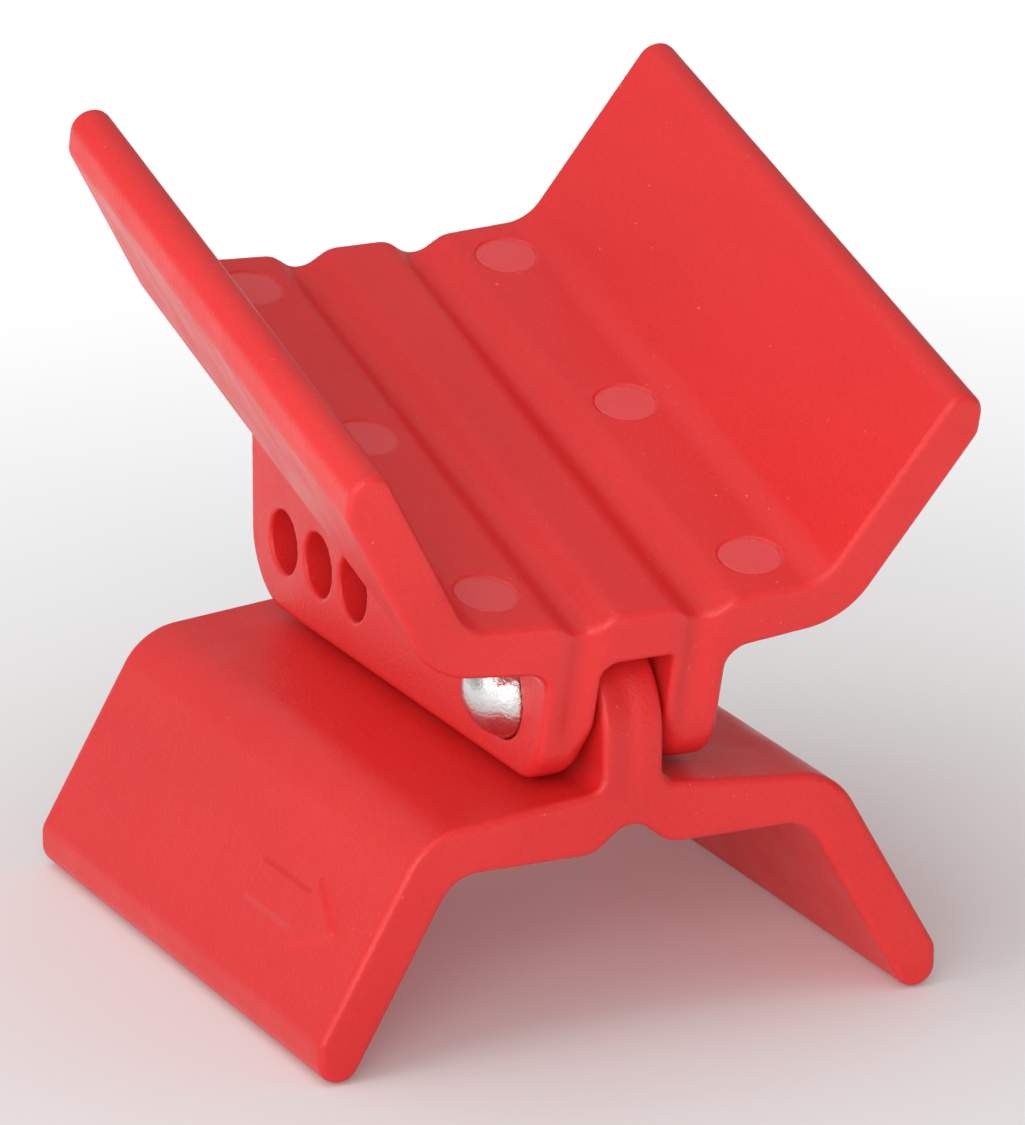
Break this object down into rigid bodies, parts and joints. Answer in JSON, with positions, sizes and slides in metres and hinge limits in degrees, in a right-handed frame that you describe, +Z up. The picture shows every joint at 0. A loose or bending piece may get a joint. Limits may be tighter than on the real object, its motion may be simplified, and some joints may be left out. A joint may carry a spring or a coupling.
{
  "type": "hinged lever lockout",
  "caption": "Wedge-shaped lockout of two hinged channel jaws, with a rib between two cheeks cross-drilled for padlock shackles and a capped pivot rod.",
  "frame": {"origin": "centre of the whole object's footprint, on the surface that the lower wing tips stand on", "axes": "+Z up; +Y along the jaws from the pivot end to the padlock end; +X to the right, along the pivot rod"},
  "size_m": [0.0724, 0.0852, 0.0896],
  "materials": {
    "jaw_plastic": "satin moulded safety red with fine grain and faint flow marks",
    "cap_steel": "bright zinc-nickel plated pressed steel",
    "rod_steel": "drawn steel rod",
    "spring_steel": "phosphated spring steel"
  },
  "bodies": {
    "lower": {"lower_jaw": "jaw_plastic"},
    "upper": {"upper_jaw": "jaw_plastic", "pivot_rod": "rod_steel", "left_cap": "cap_steel", "right_cap": "cap_steel", "left_lock_ring": "spring_steel", "right_lock_ring": "spring_steel"}
  },
  "joints": [
    {"name": "jaw_hinge", "type": "hinge", "parent": "lower", "child": "upper", "pos_m": [0, -0.02264, 0.03664], "axis": [1, 0, 0], "range_deg": [0, 10]}
  ]
}
